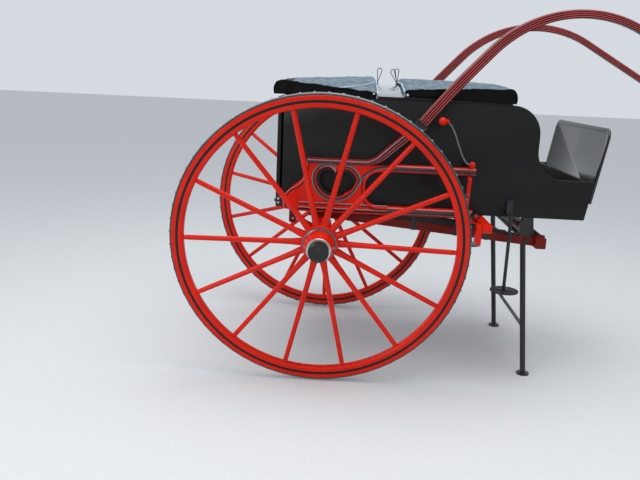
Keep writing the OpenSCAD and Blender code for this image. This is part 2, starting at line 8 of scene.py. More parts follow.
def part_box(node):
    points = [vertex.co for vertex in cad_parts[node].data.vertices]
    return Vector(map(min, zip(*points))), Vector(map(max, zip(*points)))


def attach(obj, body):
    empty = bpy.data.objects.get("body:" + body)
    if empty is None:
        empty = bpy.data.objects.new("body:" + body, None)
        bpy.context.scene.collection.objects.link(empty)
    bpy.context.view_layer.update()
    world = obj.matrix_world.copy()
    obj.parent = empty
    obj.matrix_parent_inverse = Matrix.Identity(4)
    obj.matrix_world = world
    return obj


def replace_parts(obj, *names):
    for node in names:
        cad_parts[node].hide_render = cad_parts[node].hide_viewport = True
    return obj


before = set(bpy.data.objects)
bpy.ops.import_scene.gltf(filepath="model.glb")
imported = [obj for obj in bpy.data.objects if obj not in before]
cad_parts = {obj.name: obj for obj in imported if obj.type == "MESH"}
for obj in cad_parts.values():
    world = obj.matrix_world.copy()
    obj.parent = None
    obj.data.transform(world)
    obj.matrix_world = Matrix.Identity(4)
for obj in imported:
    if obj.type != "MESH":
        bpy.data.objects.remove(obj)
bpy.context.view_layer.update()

# ---------- studio ----------
# A pale floor and a pale surround, lit by one large soft panel overhead and a weaker one from the
# viewer's left. The camera stands at eye height beside the right wheel and looks slightly down.
scene = bpy.context.scene
scene.view_settings.view_transform = "Standard"
camera = bpy.data.objects.new("camera", bpy.data.cameras.new("camera"))
camera.data.sensor_width = 36.0
camera.data.lens = 39.375
camera.location = (-1.1038, -4.1387, 1.5778)
look_yaw = math.radians(1.683)
look_down = math.radians(12.992)
look_roll = math.radians(2.566)
camera.rotation_mode = "QUATERNION"
camera.rotation_quaternion = (
    Matrix.Rotation(look_yaw, 3, "Z") @ Matrix.Rotation(math.pi / 2 - look_down, 3, "X")
    @ Matrix.Rotation(look_roll, 3, "Z")).to_quaternion()
scene.collection.objects.link(camera)
scene.camera = camera

surround = bpy.data.worlds.new("surround")
surround.use_nodes = True
surround.node_tree.nodes["Background"].inputs["Color"].default_value = (0.83, 0.88, 0.93, 1)
surround.node_tree.nodes["Background"].inputs["Strength"].default_value = 0.8
scene.world = surround


def soft_light(name, place, aim, size, power):
    lamp = bpy.data.objects.new(name, bpy.data.lights.new(name, "AREA"))
    lamp.data.shape = "SQUARE"
    lamp.data.size = size
    lamp.data.energy = power
    lamp.location = place
    lamp.rotation_mode = "QUATERNION"
    lamp.rotation_quaternion = (Vector(aim) - Vector(place)).to_track_quat("-Z", "Y")
    scene.collection.objects.link(lamp)


soft_light("overhead", (-0.6, -0.6, 4.6), (-0.6, -0.2, 0.0), 4.0, 130)
soft_light("side", (-4.4, -4.6, 2.9), (-0.8, 0.0, 0.9), 2.4, 75)


def varied(material, low, high, scale, target, detail=3.0):
    """Lets one socket of the finish wander between two values, as a hand-made surface does."""
    tree = material.node_tree
    place = tree.nodes.new("ShaderNodeTexCoord")
    spots = tree.nodes.new("ShaderNodeTexNoise")
    spots.inputs["Scale"].default_value = scale
    spots.inputs["Detail"].default_value = detail
    tree.links.new(place.outputs["Object"], spots.inputs["Vector"])
    ramp = tree.nodes.new("ShaderNodeValToRGB")
    ramp.color_ramp.elements[0].position = 0.3
    ramp.color_ramp.elements[1].position = 0.7
    ramp.color_ramp.elements[0].color = low if isinstance(low, tuple) else (low, low, low, 1)
    ramp.color_ramp.elements[1].color = high if isinstance(high, tuple) else (high, high, high, 1)
    tree.links.new(spots.outputs["Fac"], ramp.inputs["Fac"])
    tree.links.new(ramp.outputs["Color"], tree.nodes["Principled BSDF"].inputs[target])


def grained(material, scale, depth, kind="NOISE"):
    """Gives the finish a fine relief: orange peel in paint, pebbles in leather, tool marks in iron."""
    tree = material.node_tree
    place = tree.nodes.new("ShaderNodeTexCoord")
    grain = tree.nodes.new("ShaderNodeTexVoronoi" if kind == "PEBBLE" else "ShaderNodeTexNoise")
    grain.inputs["Scale"].default_value = scale
    tree.links.new(place.outputs["Object"], grain.inputs["Vector"])
    relief = tree.nodes.new("ShaderNodeBump")
    relief.inputs["Strength"].default_value = 1.0
    relief.inputs["Distance"].default_value = depth
    tree.links.new(grain.outputs["Distance" if kind == "PEBBLE" else "Fac"], relief.inputs["Height"])
    tree.links.new(relief.outputs["Normal"], tree.nodes["Principled BSDF"].inputs["Normal"])
    return relief


def shade(colour, share):
    return (colour[0] * share, colour[1] * share, colour[2] * share, 1)


def paint(name, colour, rough, gloss=0.5, coat=0.0, peel=0.00015):
    """Brushed and varnished coach paint: slightly uneven colour and gloss, with a fine orange peel."""
    material = bpy.data.materials.new(name)
    material.use_nodes = True
    shader = material.node_tree.nodes["Principled BSDF"]
    shader.inputs["Specular IOR Level"].default_value = gloss
    shader.inputs["Coat Weight"].default_value = coat
    shader.inputs["Coat Roughness"].default_value = 0.06
    varied(material, shade(colour, 0.88), shade(colour, 1.1), 7.0, "Base Color")
    varied(material, rough * 0.8, rough * 1.25, 23.0, "Roughness")
    grained(material, 260.0, peel)
    return material


floor_bm = bmesh.new()
bmesh.ops.create_grid(floor_bm, x_segments=2, y_segments=2, size=40)
floor_mesh = bpy.data.meshes.new("studio_floor")
floor_bm.to_mesh(floor_mesh)
floor_bm.free()
pale_floor = paint("pale_floor", (0.68, 0.69, 0.70), 0.9, gloss=0.1, peel=0.0)
varied(pale_floor, (0.66, 0.67, 0.68, 1), (0.70, 0.71, 0.72, 1), 60.0, "Base Color")
floor_mesh.materials.append(pale_floor)
studio_floor = bpy.data.objects.new("studio_floor", floor_mesh)
scene.collection.objects.link(studio_floor)

# ---------- wheels: felloes ----------
# Seven ash felloes to each wheel, each over two spokes, sawn to the curve and rounded inside between
# the spokes. They are painted vermilion with one broad black line round each face.
vermilion = paint("vermilion", (0.62, 0.011, 0.001), 0.26, gloss=0.18, coat=0.06)
line_black = paint("line_black", (0.006, 0.006, 0.006), 0.3, gloss=0.3)
cant = math.radians(6.25)
felloe_count = 7
spoke_count = 14
first_spoke = {"right": -0.4, "left": 12.1}
wheel_seat = {}
for side, out in (("right", -1), ("left", 1)):
    low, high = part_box("felloes_" + side)
    outwards = Vector((0, out * math.cos(cant), -math.sin(cant)))
    turn = Matrix((Vector((1, 0, 0)), outwards.cross(Vector((1, 0, 0))), outwards)).transposed().to_4x4()
    wheel_seat[side] = Matrix.Translation((low + high) / 2) @ turn


def added(name, bm, body, slot, *finishes, crease=28):
    """Turns a finished shape into a piece that rides on a body, painted with the given finishes. The slot is
    not used.
    """
    bmesh.ops.recalc_face_normals(bm, faces=bm.faces)
    mesh = bpy.data.meshes.new(name)
    bm.to_mesh(mesh)
    bm.free()
    for finish in finishes:
        mesh.materials.append(finish)
    mesh.shade_smooth()
    mesh.set_sharp_from_angle(angle=math.radians(crease))
    piece = bpy.data.objects.new(name, mesh)
    scene.collection.objects.link(piece)
    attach(piece, body)
    return piece


def joined(bm, part, seats, paint_of=None):
    """Sets a part into a larger shape, once at each seat."""
    if paint_of is not None:
        for face in part.faces:
            face.material_index = paint_of
    mesh = bpy.data.meshes.new("part")
    part.to_mesh(mesh)
    part.free()
    for seat in seats:
        placed = mesh.copy()
        placed.transform(seat)
        bm.from_mesh(placed)
        bpy.data.meshes.remove(placed)
    bpy.data.meshes.remove(mesh)


def turned(profile, steps=64, angle=360.0, paints=(), closed=False):
    """A profile of (radius, height) spun about +Z. paints gives the finish of each of its lines."""
    part = bmesh.new()
    line = [part.verts.new((r, 0, z)) for r, z in profile]
    pairs = list(zip(line, line[1:])) + ([(line[-1], line[0])] if closed else [])
    edges = [part.edges.new(pair) for pair in pairs]
    bmesh.ops.spin(part, geom=line + edges, cent=(0, 0, 0), axis=(0, 0, 1), dvec=(0, 0, 0),
                   angle=math.radians(angle), steps=steps, use_merge=angle == 360.0)
    bmesh.ops.remove_doubles(part, verts=part.verts, dist=1e-6)
    if paints:
        ends = list(profile) + ([profile[0]] if closed else [])
        middles = [((a[0] + b[0]) / 2, (a[1] + b[1]) / 2) for a, b in zip(ends, ends[1:])]
        for face in part.faces:
            r = sum(math.hypot(v.co.x, v.co.y) for v in face.verts) / len(face.verts)
            z = sum(v.co.z for v in face.verts) / len(face.verts)
            near = min(range(len(middles)), key=lambda i: math.hypot(middles[i][0] - r, middles[i][1] - z))
            face.material_index = paints[near]
    if angle != 360.0:
        bmesh.ops.holes_fill(part, edges=part.edges, sides=0)
    return part


rim_out, rim_in, rim_half = 0.747, 0.687, 0.0225
line_out, line_in = 0.7260, 0.7120
rounding = 0.012
nose = [(rim_in + rounding * (1 - math.sin(math.radians(a))),
         rim_half - rounding + rounding * math.cos(math.radians(a))) for a in (15, 40, 65, 90)]
face_line = [(rim_out - 0.002, rim_half), (line_out, rim_half), (line_in, rim_half),
             (rim_in + rounding, rim_half)]
felloe_profile = ([(rim_out, rim_half - 0.002)] + face_line + nose
                  + [(r, -z) for r, z in reversed(face_line + nose)] + [(rim_out, 0.002 - rim_half)])
felloe_paints = [0, 0, 1, 0, 0, 0, 0, 0, 0, 0, 0, 0, 0, 0, 1, 0, 0, 0]
joint_gap = 0.07
for side in ("right", "left"):
    bm = bmesh.new()
    share = 360.0 / felloe_count
    seats = [wheel_seat[side] @ Matrix.Rotation(
        math.radians(first_spoke[side] + share * (i - 0.25)), 4, "Z") for i in range(felloe_count)]
    joined(bm, turned(felloe_profile, 22, share - joint_gap, felloe_paints, closed=True), seats)
    rim = added("rim_" + side, bm, side + "_wheel", "vermilion_paint", vermilion, line_black)
    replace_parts(rim, "felloes_" + side)

# ---------- wheels: tyres ----------
# A thin round-topped rubber tyre in a steel channel shrunk on the felloes. Small blocks stand out
# of the rubber all round the tread.
rubber = paint("rubber", (0.27, 0.285, 0.30), 0.32, peel=0.0004)
rubber.node_tree.nodes["Principled BSDF"].inputs["Metallic"].default_value = 0.8
channel_steel = paint("channel_steel", (0.03, 0.03, 0.032), 0.3)
tyre_profile = [(0.7473, -0.019), (0.7473, 0.019), (0.7520, 0.0195), (0.7525, 0.017), (0.7560, 0.0145),
                (0.7583, 0.008), (0.7590, 0.0), (0.7583, -0.008), (0.7560, -0.0145), (0.7525, -0.017),
                (0.7520, -0.0195)]
tyre_paints = [1, 1, 1, 1, 0, 0, 0, 0, 1, 1, 1]
block_count = 69
for side in ("right", "left"):
    bm = bmesh.new()
    joined(bm, turned(tyre_profile, 180, 360.0, tyre_paints, closed=True), [wheel_seat[side]])
    block = bmesh.new()
    bmesh.ops.create_cube(block, size=1.0)
    bmesh.ops.scale(block, vec=(0.006, 0.016, 0.020), verts=block.verts)
    crown = [v for v in block.verts if v.co.x > 0]
    bmesh.ops.scale(block, vec=(1, 0.72, 0.8), verts=crown)
    bmesh.ops.bevel(block, geom=block.edges, offset=0.0016, offset_type="OFFSET", affect="EDGES",
                    segments=1, profile=0.5, material=-1)
    seats = [wheel_seat[side] @ Matrix.Rotation(math.tau * i / block_count, 4, "Z")
             @ Matrix.Translation((0.7588, 0, 0)) for i in range(block_count)]
    joined(bm, block, seats, 0)
    tyre = added("tread_" + side, bm, side + "_wheel", "tyre_rubber", rubber, channel_steel)
    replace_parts(tyre, "tyre_" + side)

# ---------- wheels: spokes ----------
# Fourteen oak spokes, shaved round, thick at the foot where they are wedged together in the hub and
# shouldered where their tongues enter the felloes.
hub_r, dish = 0.096, 0.034
foot = Vector((hub_r, 0, -dish))
reach = Vector((rim_in, 0, 0)) - foot
spoke_length = reach.length
lean = Matrix.Rotation(-math.atan2(reach.z, reach.x), 4, "Y") @ Matrix.Rotation(math.pi / 2, 4, "Y")
spoke_profile = [(0.0, -0.012), (0.0195, -0.012), (0.0188, 0.016), (0.0160, 0.05), (0.0143, 0.12),
                 (0.0135, 0.26), (0.0130, 0.44), (0.0128, spoke_length - 0.016),
                 (0.0118, spoke_length - 0.010), (0.0114, spoke_length + 0.006), (0.0, spoke_length + 0.006)]
for side in ("right", "left"):
    bm = bmesh.new()
    angles = [math.radians(first_spoke[side] + 360.0 * i / spoke_count) for i in range(spoke_count)]
    seats = [wheel_seat[side] @ Matrix.Rotation(angle, 4, "Z") @ Matrix.Translation(foot) @ lean
             for angle in angles]
    joined(bm, turned(spoke_profile, 20), seats)
    spokes = added("turned_spokes_" + side, bm, side + "_wheel", "vermilion_paint", vermilion)
    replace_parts(spokes, "spokes_" + side)

# ---------- wheels: hubs ----------
# A turned elm stock with a broad collar round the spoke feet, a steel band bolted in front of it, a
# tapering nose ended by a bright ring, and a plain black cap.
bright_steel = paint("bright_steel", (0.55, 0.55, 0.54), 0.25)
bright_steel.node_tree.nodes["Principled BSDF"].inputs["Metallic"].default_value = 1.0
band_steel = paint("band_steel", (0.20, 0.215, 0.225), 0.22)
band_steel.node_tree.nodes["Principled BSDF"].inputs["Metallic"].default_value = 0.9
cap_black = paint("cap_black", (0.006, 0.007, 0.006), 0.22, gloss=0.45)
hub_profile = [(0.0265, -0.126), (0.056, -0.126), (0.060, -0.122), (0.066, -0.112), (0.070, -0.108),
               (0.074, -0.100), (0.078, -0.066), (0.092, -0.062), (0.096, -0.058), (0.096, -0.012),
               (0.0935, -0.0085), (0.0865, -0.0075), (0.0865, -0.004), (0.0842, -0.0035), (0.0842, 0.0125),
               (0.0825, 0.0135), (0.0815, 0.017), (0.0800, 0.018), (0.0790, 0.026), (0.0735, 0.048),
               (0.0675, 0.066), (0.0625, 0.078), (0.0625, 0.084), (0.0612, 0.0855), (0.0612, 0.093),
               (0.0595, 0.0945), (0.050, 0.0945)]
hub_paints = [0] * 11 + [2, 1, 1, 1, 2, 2] + [0] * 5 + [3, 3, 3, 3]
bolt_profile = [(0.0, 0.0035), (0.0030, 0.0035), (0.0048, 0.0015), (0.0050, 0.0), (0.0, 0.0)]
for side in ("right", "left"):
    bm = bmesh.new()
    joined(bm, turned(hub_profile, 72, 360.0, hub_paints), [wheel_seat[side]])
    seats = [wheel_seat[side] @ Matrix.Rotation(math.tau * (i + 0.5) / spoke_count, 4, "Z")
             @ Matrix.Translation((0.090, 0, -0.0085)) for i in range(spoke_count)]
    joined(bm, turned(bolt_profile, 10), seats, 0)
    stock = added("hub_stock_" + side, bm, side + "_wheel", "vermilion_paint",
                  vermilion, band_steel, line_black, bright_steel)
    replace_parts(stock, "hub_" + side)
    bm = bmesh.new()
    cap_profile = [(0.0, 0.090), (0.052, 0.090), (0.052, 0.119), (0.0505, 0.1235), (0.047, 0.126),
                   (0.043, 0.1262), (0.0415, 0.1245), (0.036, 0.1242), (0.022, 0.1248), (0.0205, 0.1265),
                   (0.012, 0.1275), (0.0, 0.1278)]
    joined(bm, turned(cap_profile, 64), [wheel_seat[side]])
    cap = added("cap_" + side, bm, side + "_wheel", "cap_enamel", cap_black)
    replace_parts(cap, "hub_cap_" + side)

# ---------- body: panels ----------
# The box is built of broad boards on an ash frame, filled, rubbed down and varnished satin black.
# Their arrises are taken off with a plane, and they are screwed together from inside.
body_black = paint("body_black", (0.0075, 0.0075, 0.0070), 0.34, gloss=0.22)
board_black = paint("board_black", (0.018, 0.016, 0.014), 0.6, gloss=0.2, peel=0.0006)
axle_x = ((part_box("hub_right")[0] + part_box("hub_right")[1]) / 2).x


def softened(node, width, limit=28.0):
    """A copy of the framed shape with its sharp edges taken off."""
    part = bmesh.new()
    part.from_mesh(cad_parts[node].data)
    bmesh.ops.remove_doubles(part, verts=part.verts, dist=2e-5)
    bmesh.ops.dissolve_limit(part, angle_limit=math.radians(0.8), use_dissolve_boundaries=False,
                             verts=part.verts, edges=part.edges, delimit=set())
    sharp = [e for e in part.edges
             if len(e.link_faces) == 2 and e.calc_face_angle(0.0) > math.radians(limit)]
    bmesh.ops.bevel(part, geom=sharp, offset=width, offset_type="OFFSET", affect="EDGES",
                    segments=2, profile=0.5, material=-1, clamp_overlap=True)
    return part


def finished(name, node, width, body, slot, *finishes, limit=28.0, extra=None):
    """The framed shape, softened and painted, with any added detail joined to it."""
    bm = softened(node, width, limit)
    if extra is not None:
        extra(bm)
    piece = added(name, bm, body, slot, *finishes)
    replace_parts(piece, node)
    return piece


def plank(low, high, width=0.0015, segments=2):
    """A sawn block from its lowest to its highest corner, with its edges eased."""
    part = bmesh.new()
    bmesh.ops.create_cube(part, size=1.0)
    bmesh.ops.scale(part, vec=[b - a for a, b in zip(low, high)], verts=part.verts)
    bmesh.ops.translate(part, vec=[(a + b) / 2 for a, b in zip(low, high)], verts=part.verts)
    bmesh.ops.bevel(part, geom=part.edges, offset=width, offset_type="OFFSET", affect="EDGES",
                    segments=segments, profile=0.5, material=-1, clamp_overlap=True)
    return part


def stud(radius):
    """A domed stud head, standing on its face along +Z."""
    return turned([(0.0, radius * 0.55), (radius * 0.45, radius * 0.48), (radius * 0.8, radius * 0.28),
                   (radius, 0.0), (radius * 0.9, -0.0004), (0.0, -0.0004)], 14)


def facing(x, y, z, out):
    """The seat of something fixed on a side of the carriage, with its own +Z pointing outwards."""
    return Matrix.Translation((x, y, z)) @ Matrix.Rotation(math.pi / 2 * (1 if out < 0 else -1), 4, "X")


for side, out in (("right", -1), ("left", 1)):
    finished("side_board_" + side, "side_panel_" + side, 0.0025, "carriage", "black_lacquer", body_black)
finished("riser_board", "seat_riser", 0.0025, "carriage", "black_lacquer", body_black)
finished("header_rail", "rear_header", 0.0025, "carriage", "black_lacquer", body_black)

# ---------- body: floor ----------
# Five pine boards run the length of the body, nailed down side by side and painted black. The toe
# board slopes up in front of them.
low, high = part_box("floor")
board_count = 5
board_w = (high.y - low.y) / board_count
bm = bmesh.new()
for i in range(board_count):
    joined(bm, plank((low.x, low.y + i * board_w + 0.0006, low.z),
                     (high.x, low.y + (i + 1) * board_w - 0.0006, high.z), 0.002), [Matrix()])
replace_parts(added("floor_boards", bm, "carriage", "floor_boards", board_black), "floor")
finished("toe_boards", "toe_board", 0.003, "carriage", "floor_boards", board_black)

# ---------- body: deck ----------
# The top is one crowned board in high-gloss varnish, left bare between the two seat covers. Its upper
# face is painted pale blue-grey as a painted reflection of the sky. Its edges are painted black like
# the sides that it is screwed to.
deck_sky_sheen = paint("deck_sky_sheen", (0.16, 0.185, 0.21), 0.09, gloss=1.0, coat=1.0, peel=0.00002)
deck_sky_sheen.node_tree.nodes["Principled BSDF"].inputs["Coat IOR"].default_value = 2.2


def black_edges(bm):
    for face in bm.faces:
        # Faces that look up take the pale blue-grey of the painted sky reflection; the rest are black.
        face.material_index = 0 if face.normal.z > 0.8 else 1


finished("crowned_deck", "top_deck", 0.002, "carriage", "deck_lacquer", deck_sky_sheen, body_black,
         extra=black_edges)

# ---------- body: dashboard ----------
# Patent leather stretched over an iron frame and stitched round it, so that a flat border stands
# proud of the panel inside it.
patent = paint("patent_leather", (0.008, 0.008, 0.0085), 0.16, gloss=0.5, coat=0.3, peel=0.0004)


def bordered(bm):
    broad = sorted(bm.faces, key=lambda f: -f.calc_area())[:2]
    bmesh.ops.inset_individual(bm, faces=broad, thickness=0.022, depth=0.0)
    bmesh.ops.inset_individual(bm, faces=broad, thickness=0.003, depth=-0.0025)


finished("dash_leather", "dashboard", 0.005, "carriage", "patent_leather", patent, extra=bordered)

# ---------- tailboard ----------
# A board behind the seats. It hangs on two wrought strap hinges, bolted across its outer face, and
# drops nearly level as a foot rest.
iron_black = paint("iron_black", (0.014, 0.0145, 0.016), 0.38, gloss=0.4, peel=0.0005)
bright_stud = paint("bright_stud", (0.62, 0.64, 0.66), 0.3)
finished("tail_board", "tailboard", 0.003, "tailboard", "black_lacquer", body_black)
tail_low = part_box("tailboard")[0]


def strap_bolts(bm):
    for y in (-0.3, 0.3):
        seats = [Matrix.Translation((tail_low.x - 0.004, y, tail_low.z + up))
                 @ Matrix.Rotation(-math.pi / 2, 4, "Y") for up in (0.075, 0.165, 0.255)]
        joined(bm, stud(0.009), seats, 0)


finished("tail_straps", "tailboard_straps", 0.0012, "tailboard", "black_iron", iron_black,
         limit=40.0, extra=strap_bolts)


def corner_irons(bm):
    """A thin plate with two studs at each lower rear corner of the box."""
    for out in (-1, 1):
        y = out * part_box("side_panel_left")[1].y
        joined(bm, plank((axle_x - 0.250, min(y + out * 0.0004, y + out * 0.0034), 0.9045),
                         (axle_x - 0.207, max(y + out * 0.0004, y + out * 0.0034), 0.962), 0.0008),
               [Matrix()], 0)
        seats = [facing(axle_x - 0.236, y + out * 0.0034, z, out) for z in (0.925, 0.946)]
        joined(bm, stud(0.0055), seats, 1)


finished("hinge_irons", "hinge_leaves", 0.0012, "carriage", "black_iron", iron_black, bright_stud,
         limit=40.0, extra=corner_irons)

# ---------- side frames: carved panels ----------
# Each side frame starts in a solid ash panel, fretted through and carved with beads that follow its
# openings. It is painted vermilion, with the scroll picked out in black. The pale grey along the
# scroll's outer edge and the pinkish grey on the crowns of the beads are painted highlights.
bead_highlight = paint("bead_highlight", (0.27, 0.165, 0.18), 0.3, gloss=0.3)
scroll_highlight = paint("scroll_highlight", (0.19, 0.20, 0.21), 0.3, gloss=0.3)
edge_teal = paint("edge_teal", (0.012, 0.034, 0.030), 0.3)
band_grey = paint("band_grey", (0.030, 0.033, 0.036), 0.3, gloss=0.4)


def course(x, z, heading, *moves):
    """Stations (x, z, heading) along runs (length, 0) and bends (radius, degrees), x from the axle."""
    stations = [(axle_x + x, z, heading)]
    for move in moves:
        size, turn = move[:2]
        count = move[2] if len(move) > 2 else max(1, round(abs(turn) / 6.0))
        for i in range(count):
            here_x, here_z, heading = stations[-1]
            reach = size / count if turn == 0 else 2 * size * math.sin(math.radians(abs(turn) / count / 2))
            aim = math.radians(heading + turn / count / 2)
            stations.append((here_x + reach * math.cos(aim), here_z + reach * math.sin(aim),
                             heading + turn / count))
    return stations


def swept(rings, paints=()):
    """A closed ring of points carried on from place to place. paints gives the finish of each side."""
    part = bmesh.new()
    order = part.verts.layers.int.new("order")
    ring = [part.verts.new(point) for point in rings[0]]
    for i, vert in enumerate(ring):
        vert[order] = i
    edges = [part.edges.new((ring[i - 1], ring[i])) for i in range(len(ring))]
    part.faces.new(ring)
    for points in rings[1:]:
        grown = bmesh.ops.extrude_edge_only(part, edges=edges)["geom"]
        for vert in [g for g in grown if isinstance(g, bmesh.types.BMVert)]:
            vert.co = points[vert[order]]
        edges = [g for g in grown if isinstance(g, bmesh.types.BMEdge) and g.is_boundary]
    bmesh.ops.holes_fill(part, edges=edges, sides=0)
    for face in part.faces:
        places = sorted({vert[order] for vert in face.verts})
        if paints and len(places) == 2:
            side_of = places[0] if places[1] - places[0] == 1 else places[1]
            face.material_index = paints[side_of]
    return part


def moulded(stations, profile, face_y, out, paints, widths=None):
    """A carved bead run along the stations on a side's face. profile is (across, height) points."""
    rings = []
    for i, (x, z, heading) in enumerate(stations):
        aim = math.radians(heading)
        wide = 1.0 if widths is None else widths[i]
        rings.append([(x - math.sin(aim) * across * wide, out * (face_y + height),
                       z + math.cos(aim) * across * wide) for across, height in profile])
    return swept(rings, paints)


scroll_band = [(-0.0085, -0.002), (-0.0085, 0.0012), (-0.0065, 0.0030), (0.0015, 0.0040), (0.0045, 0.0036),
               (0.0065, 0.0016), (0.0072, -0.002)]
# The outer half of the scroll's crown is pale grey, a painted highlight.
scroll_paints = [1, 1, 5, 3, 3, 1, 1]
thin_bead = [(-0.0160, -0.004), (-0.0160, 0.0008), (-0.0140, 0.0026), (-0.0110, 0.0026), (-0.0088, 0.0008),
             (-0.0088, -0.002)]
window_bead = [(-0.0125, -0.002), (-0.0125, 0.0007), (-0.0072, 0.0007), (-0.0070, 0.0022), (-0.0040, 0.0050),
               (0.0, 0.0060), (0.0040, 0.0050), (0.0070, 0.0022), (0.0070, -0.002)]
string_bead = [(-0.0035, -0.002), (-0.0035, 0.001), (-0.0015, 0.0032), (0.0015, 0.0032), (0.0035, 0.001),
               (0.0035, -0.002)]
black_string = [(-0.0025, -0.002), (-0.0025, 0.0006), (0.0025, 0.0006), (0.0025, -0.002)]
leaf_bead = [(-0.5, -0.002), (-0.5, 0.001), (-0.3, 0.0045), (0.0, 0.0062), (0.3, 0.0045), (0.5, 0.001),
             (0.5, -0.002)]
scroll_line = course(0.339, 1.1413, 176, (0.1606, 72), (0.1427, -19), (0.1196, -128), (0.0772, -101),
                     (0.0533, -51))
right_lobe = course(0.104, 1.139, 6, (0.078, -104))
leaf_line = course(-0.020, 1.124, 42, (0.060, -62), (0.032, -70))
inner_flat = [(-0.034, -0.002), (-0.034, 0.0006), (-0.0155, 0.0006), (-0.0155, -0.002)]
window_line = course(0.340, 1.125, 180, (0.047, 0), (0.081, 90), (0.033, 0), (0.081, 90), (0.045, 0))
edge_line = course(-0.091, 1.152, -90, (0.032, 0), (0.110, -65.5), (0.0894, 88.4))
edge_bead = [(0.0006, -0.002), (0.0006, 0.0010), (0.0022, 0.0040), (0.0050, 0.0052), (0.0080, 0.0040),
             (0.0096, 0.0008), (0.0140, 0.0006), (0.0140, -0.002)]
for side, out in (("right", -1), ("left", 1)):
    face_y = max(abs(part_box("carved_panel_" + side)[0].y), abs(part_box("carved_panel_" + side)[1].y))
    bm = softened("carved_panel_" + side, 0.002)
    # Where these beads take the pinkish grey (2) or the pale grey (3), it is a painted highlight on the
    # crown.
    joined(bm, moulded(scroll_line, scroll_band, face_y, out, scroll_paints), [Matrix()])
    joined(bm, moulded(scroll_line[15:], thin_bead, face_y, out, [0] * 6), [Matrix()])
    joined(bm, moulded(edge_line, edge_bead, face_y, out, [0, 0, 2, 0, 0, 1, 1, 1]), [Matrix()])
    joined(bm, moulded(right_lobe, scroll_band, face_y, out, scroll_paints), [Matrix()])
    joined(bm, moulded(right_lobe, thin_bead, face_y, out, [0] * 6), [Matrix()])
    joined(bm, moulded(scroll_line[20:], inner_flat, face_y, out, [1] * 4), [Matrix()])
    joined(bm, moulded(right_lobe, inner_flat, face_y, out, [1] * 4), [Matrix()])
    joined(bm, moulded(window_line, window_bead, face_y, out, [1, 1, 1, 0, 0, 0, 0, 0, 0]), [Matrix()])
    widths = [0.006 + 0.015 * math.sin(math.pi * (i / (len(leaf_line) - 1)) ** 1.8)
              for i in range(len(leaf_line))]
    joined(bm, moulded(leaf_line, leaf_bead, face_y, out, [0, 0, 2, 2, 0, 0, 0], widths), [Matrix()])
    for up in (0.9408, 0.9147):
        joined(bm, moulded(course(-0.125, up - 0.0058, 0, (0.465, 0)), black_string, face_y, out, [1] * 4),
               [Matrix()])
        joined(bm, moulded(course(-0.125, up, 0, (0.465, 0)), string_bead, face_y, out, [0, 0, 2, 2, 2, 0]),
               [Matrix()])
    joined(bm, moulded(course(-0.130, 0.9035, 0, (0.470, 0)), black_string, face_y, out, [1] * 4), [Matrix()])
    joined(bm, moulded(course(-0.080, 1.1495, 0, (0.300, 0)), black_string, face_y, out, [4] * 4), [Matrix()])
    panel = added("fret_panel_" + side, bm, "carriage", "vermilion_paint",
                  vermilion, line_black, bead_highlight, scroll_highlight, edge_teal, band_grey)
    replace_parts(panel, "carved_panel_" + side)

# ---------- side frames: rails ----------
# Two ash rails run forward from each carved panel, worked with a round bead along the top and the
# bottom. The flat between the beads is slate, with a black line under it. The top bead's outer face
# is painted pale pink as a painted highlight, and the bottom bead a darker red as painted shade.
slate = paint("slate", (0.045, 0.050, 0.054), 0.3, gloss=0.35)
bead_shade_red = paint("bead_shade_red", (0.22, 0.008, 0.006), 0.3, gloss=0.25)
lit_pink = paint("lit_pink", (0.62, 0.20, 0.19), 0.25, gloss=0.4)


def rail_section(depth, face_y, back_y):
    """Points (out from the centre line, below the rail's top) round one rail."""
    top = [(face_y - 0.006 + 0.006 * math.sin(math.radians(a)), 0.006 - 0.006 * math.cos(math.radians(a)))
           for a in (0, 30, 60, 90, 120, 150)]
    bottom = [(face_y - 0.007 + 0.006 * math.sin(math.radians(a)),
               depth - 0.006 - 0.006 * math.cos(math.radians(a))) for a in (30, 60, 90, 120, 150, 180)]
    flat = [(face_y - 0.0045, 0.013), (face_y - 0.0045, depth - 0.0175), (face_y - 0.0055, depth - 0.017),
            (face_y - 0.0055, depth - 0.013)]
    return [(back_y + 0.001, 0.0)] + top + flat + bottom + [(back_y + 0.001, depth), (back_y, depth - 0.001),
                                                             (back_y, 0.001)]


for side, out in (("right", -1), ("left", 1)):
    low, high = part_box("side_rails_" + side)
    inner, outer = sorted((abs(low.y), abs(high.y)))
    bm = bmesh.new()
    for top, depth in ((high.z, 0.040), (low.z + 0.044, 0.044)):
        section = rail_section(depth, outer, inner)
        rings = [[(x, out * y, top - down) for y, down in section] for x in (low.x, high.x)]
        # Index 4 is the painted highlight on the top bead, index 3 the painted shade on the bottom bead.
        joined(bm, swept(rings, [0, 0, 0, 4, 4, 0, 0, 1, 2, 2, 2] + [3] * 6 + [0, 0, 0]), [Matrix()])
    rails = added("rails_" + side, bm, "carriage", "vermilion_paint", vermilion, slate, line_black, bead_shade_red,
                  lit_pink)
    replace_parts(rails, "side_rails_" + side)

